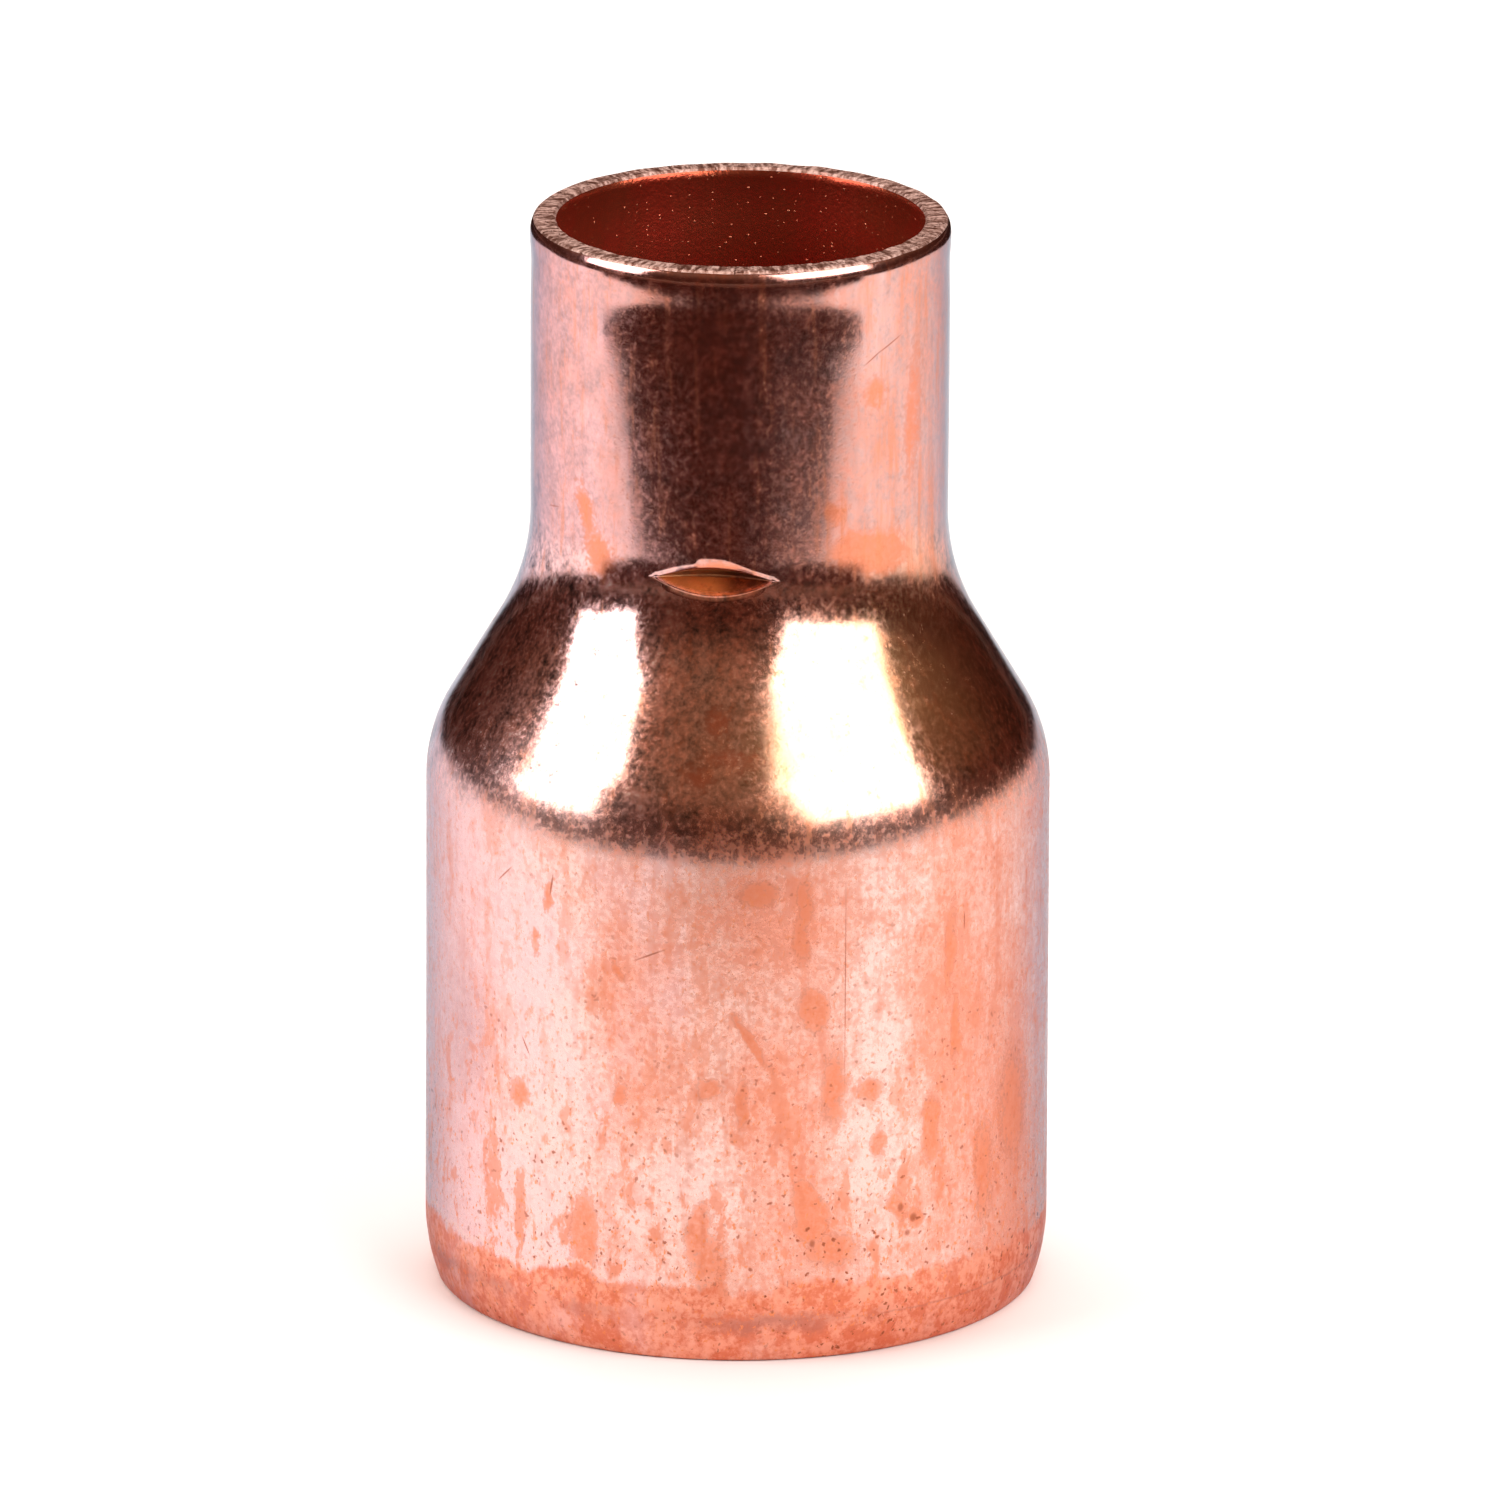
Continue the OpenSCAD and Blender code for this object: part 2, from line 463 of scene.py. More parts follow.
def ringHeights(angle, rings):
    # Heights on a grid of rings by angles. The rings near a stop's middle follow its opening.
    band = stops["band"]
    rest = stops["restOpening"]
    upper = np.full(len(angle), rest)
    lower = upper.copy()
    for centre in stops["angles"]:
        off = fromStop(angle, centre)
        near = np.abs(off) < math.radians(stops["easeFrom"] + stops["easeOver"])
        high = edgeHeight(off, outsideRadius(np.full(len(angle), stopHeight + stops["openRings"])))
        low = edgeHeight(off, outsideRadius(np.full(len(angle), stopHeight - stops["openRings"])))
        away = smooth((np.degrees(np.abs(off)) - stops["easeFrom"]) / stops["easeOver"])
        least = stops["leastOpening"] + (rest - stops["leastOpening"]) * away
        upper = np.where(near, np.maximum(high, least), upper)
        lower = np.where(near, np.maximum(low, least), lower)
    v = rings[:, None] - stopHeight
    opening = stops["openRings"]
    half = np.where(v > 0, upper[None, :], lower[None, :])
    inside = v / opening * half
    outside = np.sign(v) * (half + (np.abs(v) - opening) * (band - half) / (band - opening))
    moved = np.where(np.abs(v) <= opening, inside, np.where(np.abs(v) < band, outside, v))
    return stopHeight + moved


def punched(r, off, disc, near):
    # Radius r pushed back to the punch, whose round section at this height has the radius disc.
    side = punchAxis * np.sin(off)
    hits = near & (disc > np.abs(side))
    cut = punchAxis * np.cos(off) - np.sqrt(np.where(hits, disc**2 - side**2, 1))
    return np.where(hits, np.minimum(r, cut), r)


def pressStop(r, angle, z, centre):
    # The edge above a stop is dragged in, then the punch sinks into the wall.
    off = fromStop(angle, centre)
    degrees = np.degrees(off)
    near = np.abs(degrees) < stops["reach"]
    crest = stopHeight + edgeHeight(off, r)
    above = np.clip(1 - (z - crest) / rollWidth(degrees), 0, 1)
    ends = np.clip((stops["rollTo"] - np.abs(degrees)) / stops["rollEase"], 0, 1)
    r = r - np.where(near & (z > stopHeight), stops["rollDepth"] * above**2 * ends, 0)
    return punched(r, off, stops["punchRadius"] - np.abs(z - stopHeight) / punchSlope, near)


def pressBump(r, angle, z, centre):
    # The bump that the same punch raises in the bore, with a blunt crest.
    off = fromStop(angle, centre)
    near = np.abs(off) < math.radians(stops["bumpReach"])
    blunt = stops["bumpBlunt"]
    fall = math.sqrt((z - stopHeight) ** 2 + blunt**2) - blunt
    return punched(r, off, stops["punchRadius"] + stops["bumpWall"] - fall / punchSlope, near)


def outsideRings():
    low = stopHeight - stops["band"]
    high = stopHeight + stops["band"]
    return spaced([
        (0.0, body["noseEdge"], 0.07),
        (body["noseEdge"], 1.2, 0.2),
        (1.2, body["noseLength"], 0.4),
        (body["noseLength"], 30.0, 0.55),
        (30.0, low, 0.42),
        (low, stopHeight - 1.0, 0.27),
        (stopHeight - 1.0, stopHeight + 1.0, 0.125),
        (stopHeight + 1.0, stopHeight + 2.0, 0.1),
        (stopHeight + 2.0, high, 0.25),
        (high, overallHeight - 4.5, 0.55),
        (overallHeight - 4.5, overallHeight - body["rimTall"], 0.25),
    ])


def boreRings():
    return spaced([
        (overallHeight - body["leadIn"], overallHeight - 3, 0.5),
        (overallHeight - 3, neckStart + 1, 1.2),
        (neckStart + 1, stopHeight - 2, 0.22),
        (stopHeight - 2, 30.0, 0.8),
        (30.0, 1.0, 1.8),
        (1.0, body["leadIn"], 0.4),
    ])


def outsideRows(angle):
    rings = outsideRings()
    z = ringHeights(angle, rings)
    grid = np.repeat(angle[None, :], len(rings), axis=0)
    r = outsideRadius(z)
    for centre in stops["angles"]:
        r = pressStop(r, grid, z, centre)
    free = np.clip((z - 1) / 3, 0, 1) * np.clip((overallHeight - 1 - z) / 3, 0, 1)
    for kind in ("outOfRound", "flutes", "shallow"):
        r = r + free * uneven(kind, grid, z)
    return [(r[i], z[i], "skin") for i in range(len(rings))]


def rimRows(angle, outerR, outerZ):
    # The worn outer edge of the small mouth, then its sawn face.
    edge = body["rimEdge"]
    tall = body["rimTall"] + uneven("rim", angle, 0 * angle)
    rows = []
    for t in np.linspace(0, math.pi / 2, 10)[1:]:
        kind = "skin" if t < body["sawnFrom"] else "cut"
        rows.append((outerR - edge + edge * math.cos(t), outerZ + tall * math.sin(t), kind))
    faceOut = outerR - edge
    faceIn = neckBore + body["leadIn"] + uneven("innerEdge", angle, 0 * angle)
    for t in np.linspace(0, 1, 8)[1:]:
        grit = uneven("sawn", angle, np.full(len(angle), t * faceSpread))
        rows.append((faceOut + (faceIn - faceOut) * t, outerZ + tall + grit, "cut"))
    return rows


def boreRows(angle):
    rows = []
    for k, height in enumerate(boreRings()):
        z = np.full(len(angle), height)
        r = sideRadius(z, wallThickness)
        for centre in stops["angles"]:
            r = pressBump(r, angle, height, centre)
        rows.append((r + uneven("bore", angle, z), z, "bore" if k else "cut"))
    return rows


def largeFaceRows(angle):
    # The sawn face of the large mouth, from the bore outwards.
    faceIn = cupBore + body["leadIn"]
    faceOut = cupRadius - body["noseDepth"] - body["noseEdge"]
    rows = []
    for t in np.linspace(0, 1, 4)[:-1]:
        waves = ripple("largeFace", angle, np.full(len(angle), t * faceSpread))
        grit = ripples["largeFace"]["depth"] * waves**2
        rows.append((np.full(len(angle), faceIn + (faceOut - faceIn) * t), grit, "cut"))
    return rows


def buildWall():
    # Every ring as (radius, height, finish): up the outside, over the rim, down the bore and out again.
    angle = gatheredAngles()
    rows = outsideRows(angle)
    outerR, outerZ, _ = rows[-1]
    rows += rimRows(angle, outerR, outerZ)
    rows += boreRows(angle)
    rows += largeFaceRows(angle)
    return angle, rows


def meshFromRows(name, angle, rows, slots):
    count = len(angle)
    points = np.empty((len(rows), count, 3))
    for i, (r, z, _) in enumerate(rows):
        points[i, :, 0] = r * np.sin(angle)
        points[i, :, 1] = -r * np.cos(angle)
        points[i, :, 2] = np.maximum(z, 0)
    i = np.arange(len(rows))[:, None]
    j = np.arange(count)[None, :]
    nextRow = (i + 1) % len(rows)
    nextCol = (j + 1) % count
    corners = (i * count + j, i * count + nextCol, nextRow * count + nextCol, nextRow * count + j)
    quads = np.stack(corners, axis=2).reshape(-1, 4)
    mesh = bpy.data.meshes.new(name)
    mesh.from_pydata((points.reshape(-1, 3) * metre).tolist(), [], quads.tolist())
    kinds = [slots[rows[(k + 1) % len(rows)][2]] for k in range(len(rows))]
    mesh.polygons.foreach_set("material_index", np.repeat(np.array(kinds, np.int32), count))
    mesh.update()
    return mesh


# ---- copper finishes

def newGroup(name, inputs, outputs):
    # An empty node group with named sockets: (name, kind, value) going in, (name, kind) coming out.
    tree = bpy.data.node_groups.new(name, "ShaderNodeTree")
    for label, kind, value in inputs:
        socket = tree.interface.new_socket(name=label, in_out="INPUT", socket_type="NodeSocket" + kind)
        if value is not None:
            socket.default_value = value
    for label, kind in outputs:
        tree.interface.new_socket(name=label, in_out="OUTPUT", socket_type="NodeSocket" + kind)
    return tree, tree.nodes.new("NodeGroupInput").outputs, tree.nodes.new("NodeGroupOutput").inputs


def useGroup(tree, group, inputs):
    return put(tree, "Group", inputs, node_tree=group).outputs


def makePlaceGroup():
    # Where a point lies: in millimetres, the same pushed about by noise, its height, how far it is to
    # the right of the axis as a share of its radius, and that radius.
    tree, given, out = newGroup(
        "wallPlace",
        [("Wander", "Float", 0.3), ("Wander Size", "Float", 1.0)],
        [("Place", "Vector"), ("Wandered", "Vector"), ("Height", "Float"), ("Side", "Float"),
         ("Radius", "Float")])
    here = put(tree, "TexCoord").outputs["Object"]
    place = vectorMaths(tree, "MULTIPLY", here, (1000, 1000, 1000))
    size = maths(tree, "DIVIDE", 1.0, given["Wander Size"])
    push = put(tree, "TexNoise", {"Vector": place, "Scale": size, "Detail": 4.0, "Roughness": 0.6})
    centred = vectorMaths(tree, "SUBTRACT", push.outputs["Color"], (0.5, 0.5, 0.5))
    pushed = scaled(tree, centred, given["Wander"])
    link = tree.links.new
    link(place, out["Place"])
    link(vectorMaths(tree, "ADD", place, pushed), out["Wandered"])
    parts = put(tree, "SeparateXYZ", {0: place}).outputs
    link(parts["Z"], out["Height"])
    flat = put(tree, "CombineXYZ", {"X": parts["X"], "Y": parts["Y"], "Z": 0.0}).outputs[0]
    radius = vectorMaths(tree, "LENGTH", flat)
    link(radius, out["Radius"])
    link(maths(tree, "DIVIDE", parts["X"], radius), out["Side"])
    return tree


def makeGrainGroup():
    # Fine tooth of the metal and the straight lines that drawing leaves along it.
    tree, given, out = newGroup(
        "drawnGrain",
        [("Place", "Vector", None), ("Tooth", "Float", 0.16), ("Line Width", "Float", 0.22)],
        [("Tooth", "Float"), ("Lines", "Float")])
    finer = maths(tree, "DIVIDE", 1.0, given["Tooth"])
    tooth = put(tree, "TexNoise", {
        "Vector": given["Place"], "Scale": finer, "Detail": 2.0, "Roughness": 0.6})
    drawn = vectorMaths(tree, "MULTIPLY", given["Place"], (1, 1, 0.035))    # stretched along the axis
    narrower = maths(tree, "DIVIDE", 1.0, given["Line Width"])
    lines = put(tree, "TexNoise", {
        "Vector": drawn, "Scale": narrower, "Detail": 3.0, "Roughness": 0.7})
    tree.links.new(tooth.outputs["Fac"], out["Tooth"])
    tree.links.new(lines.outputs["Fac"], out["Lines"])
    return tree


def scatterCells(tree, given):
    # Cells of about the given spacing, and three chance numbers for each.
    closer = maths(tree, "DIVIDE", 1.0, given["Spacing"])
    cells = put(tree, "TexVoronoi", {"Vector": given["Place"], "Scale": closer, "Randomness": 1.0})
    return cells, put(tree, "SeparateColor", {0: cells.outputs["Color"]}).outputs


def makeSpeckGroup():
    # Scattered round spots; Share is how many of the cells hold one.
    tree, given, out = newGroup(
        "scatteredSpecks",
        [("Place", "Vector", None), ("Spacing", "Float", 0.9), ("Size", "Float", 0.12),
         ("Share", "Float", 0.3)],
        [("Mask", "Float")])
    cells, dice = scatterCells(tree, given)
    far = times(tree, cells.outputs["Distance"], given["Spacing"])
    radius = times(tree, given["Size"], maths(tree, "ADD", 0.35, dice["Green"]))
    chosen = maths(tree, "LESS_THAN", dice["Red"], given["Share"])
    edge = times(tree, radius, 1.35)
    spot = ramp(tree, far, times(tree, radius, 0.65), edge, 1.0, 0.0)
    tree.links.new(times(tree, spot, chosen), out["Mask"])
    return tree


def makeScratchGroup():
    # Short stray scratches, each turned and bent by chance.
    tree, given, out = newGroup(
        "strayScratches",
        [("Place", "Vector", None), ("Spacing", "Float", 3.0), ("Length", "Float", 1.2),
         ("Width", "Float", 0.05), ("Share", "Float", 0.5), ("Upright", "Float", 0.0)],
        [("Mask", "Float")])
    cells, dice = scatterCells(tree, given)
    middle = scaled(tree, cells.outputs["Position"], given["Spacing"])
    local = vectorMaths(tree, "SUBTRACT", given["Place"], middle)
    outward = put(tree, "NewGeometry").outputs["Normal"]
    across = vectorMaths(tree, "NORMALIZE", vectorMaths(tree, "CROSS_PRODUCT", (0, 0, 1), outward))
    along = vectorMaths(tree, "CROSS_PRODUCT", outward, across)
    u = vectorMaths(tree, "DOT_PRODUCT", local, across)
    v = vectorMaths(tree, "DOT_PRODUCT", local, along)
    spread = times(tree, math.pi, maths(tree, "SUBTRACT", 1.0, given["Upright"]))
    leaning = times(tree, maths(tree, "SUBTRACT", dice["Red"], 0.5), spread)
    cosine = maths(tree, "COSINE", leaning)
    sine = maths(tree, "SINE", leaning)
    long = maths(tree, "ADD", times(tree, v, cosine), times(tree, u, sine))
    wide = maths(tree, "SUBTRACT", times(tree, u, cosine), times(tree, v, sine))
    bend = times(tree, maths(tree, "SUBTRACT", dice["Blue"], 0.5), 0.5)
    bent = maths(tree, "ADD", wide, times(tree, bend, times(tree, long, long)))
    half = times(tree, given["Length"], maths(tree, "ADD", 0.2, dice["Green"]))
    ends = ramp(tree, maths(tree, "ABSOLUTE", long), times(tree, half, 0.7), half, 1.0, 0.0)
    core = times(tree, given["Width"], 0.3)
    thin = ramp(tree, maths(tree, "ABSOLUTE", bent), core, given["Width"], 1.0, 0.0)
    chosen = maths(tree, "LESS_THAN", dice["Blue"], given["Share"])
    tree.links.new(times(tree, times(tree, ends, thin), chosen), out["Mask"])
    return tree


groups = {
    "place": makePlaceGroup(),
    "grain": makeGrainGroup(),
    "specks": makeSpeckGroup(),
    "scratches": makeScratchGroup(),
}

skin = {
    "usual": (0.75, 0.405, 0.33),
    "pale": (0.84, 0.55, 0.495),
    "deep": (0.745, 0.30, 0.21),
    "lilac": (0.80, 0.50, 0.52),                  # a cooler tint, mostly towards the left side
    "neckShade": (0.81, 0.78, 0.81),              # the burnished neck is this much darker
    "coneMottle": 2.8,                            # how much the tone wavers on the cone; less on the neck
    "olive": (0.66, 0.36, 0.19),
    "orange": (0.74, 0.235, 0.125),
    "brown": (0.42, 0.12, 0.06),
    "mauve": (0.50, 0.28, 0.29),
    "bandLight": (0.84, 0.335, 0.22),
    "bandDeep": (0.70, 0.185, 0.095),
    # the tool mark's smudge, also used for the painted shade line beside it on the right
    "smudgeAndShade": (0.46, 0.17, 0.13),
    "fleck": (0.80, 0.27, 0.12),
    "stopTint": (0.66, 0.31, 0.13),
    "stopShadow": (0.20, 0.06, 0.02),
    "score": (0.33, 0.09, 0.045),
    "edgeTint": (0.43, 0.55, 0.66),               # reflection near grazing
    "cupRoughness": 0.23,
    "neckRoughness": 0.11,
    "tideHeight": 4.9,                            # top of the stained band at the large end
    "haze": 0.07,                                 # extra roughness in the hazy areas
    "stopDullness": 0.20,                         # and in the stops
    "reliefDepth": 0.014,
    "neckRelief": 0.17,                           # share of the relief that the burnished neck keeps
}
# Heights between which one zone of the wall turns into the next.
zones = {
    "cup": (31.0, 35.0),                          # cup below, cone above
    "dull": (32.0, 37.5),                         # less polished below
    "toothed": (25.0, 32.0),                      # more tooth below
    "lower": (4.0, 26.0),                         # more stains and pits below
    "neck": (45.5, 50.0),                         # neck above
}
# Marks are (angle round from the front, height, half width, half height, lean, strength).
stains = [
    (40, 48.5, 3.4, 1.6, 0, 1.0),
    (33, 48.9, 1.8, 1.3, 0, 0.9),
    (-41, 48.2, 1.3, 1.9, -30, 0.9),
    (-6, 48.45, 1.5, 0.35, 0, 0.7),
    (-47, 50.8, 0.7, 1.9, -20, 0.7),
    (27, 51.5, 0.7, 0.9, 0, 0.8),
    (40, 58.6, 0.8, 1.1, 0, 0.6),
    (55, 56.8, 0.8, 3.8, 4, 0.45),
    (2.5, 20.6, 0.36, 2.2, -32, 1.2),
    (-28.8, 7.6, 0.95, 2.6, 0, 1.1),
    (-29.2, 4.6, 1.0, 2.4, 0, 0.9),
    (-7.0, 8.4, 0.8, 2.1, 8, 0.9),
    (-5.0, 6.6, 1.1, 1.8, 0, 0.6),
    (12.5, 10.2, 0.8, 1.5, -16, 1.1),
    (14.0, 8.8, 1.1, 1.3, -10, 1.2),
    (18.0, 7.0, 1.7, 1.2, 0, 0.7),
    (38, 14.0, 0.75, 2.1, 0, 1.2),
    (27, 13.4, 0.5, 1.2, 0, 0.8),
    (31, 9.4, 0.7, 1.2, -20, 1.0),
    (34.5, 8.4, 0.5, 0.6, 0, 1.3),
    (25, 17.0, 0.95, 0.75, 12, 0.9),
    (-43.5, 15.6, 0.9, 1.0, 0, 0.8),
    (-22, 16.8, 0.5, 0.6, 0, 0.7),
    (-5, 17.5, 0.75, 0.8, 0, 0.7),
    (1, 16.6, 0.4, 1.5, 0, 0.8),
    (14, 22.4, 1.0, 1.5, -10, 0.9),
    (18, 17.4, 0.8, 2.4, 0, 0.7),
    (11.5, 27.0, 0.5, 1.6, 0, 0.6),
    (44, 19.8, 0.4, 2.4, 0, 0.8),
    (42.5, 25.0, 0.45, 2.8, 4, 0.6),
    (3.5, 29.8, 1.1, 0.8, 0, 0.9),
    (-5.0, 39.5, 0.7, 1.0, 0, 0.35),
    (-2.0, 37.6, 1.5, 0.5, 0, 0.35),
    (-8.0, 36.6, 1.0, 0.6, 0, 0.3),
    (12.3, 29.3, 0.45, 1.6, 0, 0.8),
    (62, 13.5, 1.6, 3.6, 0, 0.7),
    (52, 10.0, 0.8, 3.0, 0, 0.6),
    (-37, 28.6, 0.3, 1.2, 10, 0.7),
    (-40, 25.6, 0.3, 0.8, -20, 0.6),
    (-22, 24.6, 0.3, 0.9, -30, 0.7),
    (95, 12.0, 0.9, 2.8, 0, 0.9),
    (118, 19.0, 1.2, 1.6, 0, 0.7),
    (150, 15.0, 1.0, 3.2, 0, 0.9),
    (-160, 10.0, 1.2, 2.4, 0, 1.0),
    (-150, 24.0, 0.8, 1.4, 0, 0.7),
    (205, 22.0, 0.9, 1.2, 10, 0.7),
    (-115, 26.0, 0.8, 1.5, 0, 0.7),
    (-95, 9.0, 1.1, 2.6, 0, 0.9),
    (110, 50.0, 2.2, 1.6, 0, 0.9),
    (-140, 49.0, 2.6, 1.4, 0, 0.8),
]
paleAreas = [
    (-37, 16, 3.6, 15, 0, 1.0),
    (-46, 7, 4.5, 4.0, 0, 0.9),
    (27, 17, 2.9, 13, 0, 0.8),
    (-12, 11, 3.5, 3.2, 0, 0.6),
    (100, 18, 4.5, 12, 0, 0.8),
    (-100, 14, 4.0, 12, 0, 0.8),
    (175, 14, 5.0, 10, 0, 0.8),
]
deepAreas = [
    (-17, 24, 3.4, 7.5, 0, 1.0),
    (-19, 17, 2.6, 3.0, 0, 0.6),
    (4, 28, 5.0, 4.0, 0, 0.9),
    (8, 18, 2.2, 6.0, 0, 0.5),
    (43, 21, 2.6, 9.0, 0, 0.7),
    (60, 12, 3.0, 11.0, 0, 1.0),
    (-2, 33.2, 6.0, 1.6, 0, 1.0),
    (140, 24, 4.0, 8.0, 0, 0.9),
    (-140, 20, 4.0, 8.0, 0, 0.8),
]
greyAreas = [
    (-58, 18.5, 2.6, 4.0, 0, 0.8),
    (75, 22, 3.0, 9.0, 0, 0.5),
    (170, 30, 5.0, 4.0, 0, 0.7),
]
oliveAreas = [
    (50, 41, 7.0, 6.0, 0, 0.8),
    (8, 38, 4.0, 4.0, 0, 0.4),
    (-150, 40, 8.0, 6.0, 0, 0.6),
]
hazyAreas = [
    (-54, 36.5, 4.5, 3.5, 0, 1.0),
    (52, 42.0, 4.5, 5.0, 0, 1.0),
    (0, 38.5, 3.5, 4.5, 0, 0.7),
    (14, 57.0, 2.0, 9.0, 0, 0.4),
    (160, 40.0, 6.0, 4.0, 0, 0.9),
    (-120, 42.0, 5.0, 4.0, 0, 0.8),
]
scores = [
    (31.5, 9.2, 0.20, 0.26, 0, 0.6),
    (34.3, 8.4, 0.24, 0.26, 0, 0.7),
    (33.0, 7.5, 0.16, 0.18, 0, 0.6),
    (14.0, 7.6, 0.16, 0.22, 0, 0.6),
    (-48.0, 11.6, 0.10, 0.14, 0, 0.8),
    (-50.0, 13.4, 0.09, 0.12, 0, 0.8),
    (-47.5, 29.2, 0.05, 0.75, 48, 0.8),
    (-16, 25.8, 0.05, 1.0, 66, 0.8),
    (-36, 29.3, 0.06, 0.7, 10, 0.8),
    (-42, 18.7, 0.06, 0.6, -30, 0.9),
    (20, 24.0, 0.035, 5.0, 0, 0.45),
    (45, 61.4, 0.05, 1.2, 68, 0.5),
    (39, 60.8, 0.05, 0.7, 60, 0.5),
    (-62, 50.3, 0.05, 0.8, 80, 0.5),
    (46, 26.5, 0.06, 0.5, 0, 0.8),
    (130, 24.0, 0.05, 1.4, 40, 0.8),
    (-140, 18.0, 0.05, 1.2, -55, 0.8),
]


def patchPlace(angle, height, lean):
    # Centre and turn of a patch that lies on the wall.
    turn = math.radians(angle)
    radius = float(outsideRadius(np.array([height]))[0])
    middle = (radius * math.sin(turn), -radius * math.cos(turn), height)
    return middle, (0.0, math.radians(lean), turn)


def nearest(tree, place, marks):
    # The smallest reach over a list of oval marks: 1 at a mark's edge, falling towards its middle.
    reach = None
    for angle, height, halfWidth, halfHeight, lean, strength in marks:
        middle, turn = patchPlace(angle, height, lean)
        if lean:
            size = (halfWidth, halfWidth, halfHeight)
            fitted = {"Vector": place, "Location": middle, "Rotation": turn, "Scale": size}
            local = put(tree, "Mapping", fitted, vector_type="TEXTURE").outputs[0]
        else:
            shrink = (1 / halfWidth, 1 / halfWidth, 1 / halfHeight)
            shift = [-m * k for m, k in zip(middle, shrink)]
            local = vectorMaths(tree, "MULTIPLY_ADD", place, shrink, shift)
        made = vectorMaths(tree, "LENGTH", local)
        if strength != 1:
            made = maths(tree, "MULTIPLY_ADD", made, strength, 1 - strength)
        reach = made if reach is None else maths(tree, "MINIMUM", reach, made)
    return reach


def softArea(tree, place, marks):
    # 1 in the middle of each mark, fading out well past its edge.
    return ramp(tree, nearest(tree, place, marks), 0.15, 1.7, 1.0, 0.0)


def fade(tree, value, share, rest):
    # Value times share, plus rest.
    return maths(tree, "MULTIPLY_ADD", value, share, rest)


def swing(tree, value, share, rest=0.0):
    # Noise about its middle: (value - 0.5) times share, plus rest.
    return maths(tree, "MULTIPLY_ADD", maths(tree, "SUBTRACT", value, 0.5), share, rest)


def line(tree, value, at, half, start=0.0):
    # 1 where value equals at, 0 once it is half away.
    return ramp(tree, maths(tree, "ABSOLUTE", maths(tree, "SUBTRACT", value, at)), start, half, 1.0, 0.0)


def startMaterial(name):
    material = bpy.data.materials.new(name)
    material.use_nodes = True
    tree = material.node_tree
    shader = tree.nodes["Principled BSDF"]
    shader.inputs["Metallic"].default_value = 1
    return material, tree, shader


def wallValues(tree):
    # What every part of the skin's finish reads: place on the wall, zones and shared noises.
    where = useGroup(tree, groups["place"], {"Wander": 1.5, "Wander Size": 1.6})
    wall = {name: where[name] for name in ("Place", "Wandered", "Height", "Side", "Radius")}
    place = wall["Place"]
    for name in ("cup", "dull", "toothed", "lower"):
        wall[name] = ramp(tree, wall["Height"], *zones[name], 1.0, 0.0)
    wall["neck"] = ramp(tree, wall["Height"], *zones["neck"])
    wall["burnished"] = fade(tree, wall["cup"], -1.0, 1.0)
    wall["clouds"] = noise(tree, place, 7.0, detail=4, rough=0.6, stretch=(1, 1, 1.5))
    wall["mottle"] = noise(tree, place, 1.6, detail=5, rough=0.68)
    wall["fine"] = noise(tree, place, 0.38, detail=3, rough=0.65)
    wall["streaks"] = noise(tree, place, 0.8, detail=4, rough=0.68, stretch=(1, 1, 9))
    return wall


def cloudTint(tree, wall):
    # Pale pink, peach and deeper pink in soft clouds, cooler to the left.
    drift = swing(tree, wall["mottle"], 3.2)
    drift = swing(tree, wall["fine"], 2.3, drift)
    drift = swing(tree, wall["streaks"], 1.7, drift)
    drift = swing(tree, wall["clouds"], 2.2, drift)
    paleMask = softArea(tree, wall["Wandered"], paleAreas)
    deepMask = softArea(tree, wall["Wandered"], deepAreas)
    warm = maths(tree, "ADD", maths(tree, "SUBTRACT", deepMask, paleMask), drift)
    warm = maths(tree, "MULTIPLY_ADD", wall["Side"], fade(tree, wall["neck"], -0.60, 0.34), warm)
    paleness = maths(tree, "MULTIPLY", warm, -1.1, clamp=True)
    deepness = maths(tree, "MULTIPLY", warm, 0.95, clamp=True)
    tint = mixColour(tree, paleness, skin["usual"], skin["pale"])
    tint = mixColour(tree, deepness, tint, skin["deep"])
    cool = ramp(tree, swing(tree, wall["clouds"], 1.6, wall["Side"]), -0.95, -0.15, 0.65, 0.0)
    tint = mixColour(tree, cool, tint, skin["lilac"])
    grey = softArea(tree, wall["Wandered"], greyAreas)
    return mixColour(tree, times(tree, grey, wall["mottle"]), tint, skin["mauve"])


def stainTint(tree, wall, tint):
    # Spatter and runs, more of them low down, and the stains listed above.
    place = wall["Place"]
    fray = fade(tree, wall["fine"], 0.6, times(tree, wall["mottle"], 0.4))
    zone = fade(tree, wall["lower"], 0.65, fade(tree, wall["cup"], 0.35, 0.25))
    spatter = noise(tree, place, 0.9, detail=4, rough=0.62, stretch=(1, 1, 1.7), shift=(4, 2, 7))
    spatter = ramp(tree, spatter, 0.56, 0.65, 0.0, 0.6)
    runs = noise(tree, wall["Wandered"], 1.6, detail=4, rough=0.6, stretch=(1, 1, 4), shift=(9, 1, 3))
    rings = line(tree, runs, 0.575, 0.022)
    runs = ramp(tree, runs, 0.57, 0.63, 0.0, 0.7)
    dirt = times(tree, larger(tree, spatter, runs), zone)
    reach = swing(tree, fray, 2.2, nearest(tree, wall["Wandered"], stains))
    patches = ramp(tree, reach, 0.65, 1.15, 1.0, 0.0)
    tides = line(tree, reach, 0.97, 0.15)
    patches = times(tree, patches, fade(tree, wall["fine"], 1.0, 0.45))
    stained = maths(tree, "MAXIMUM", dirt, patches, clamp=True)
    tint = mixColour(tree, times(tree, stained, 0.88), tint, skin["orange"])
    tides = times(tree, tides, fade(tree, wall["cup"], 0.2, 0.1))
    tint = mixColour(tree, tides, tint, skin["brown"])
    rings = times(tree, times(tree, rings, zone), 0.22)
    return mixColour(tree, rings, tint, skin["orange"]), stained


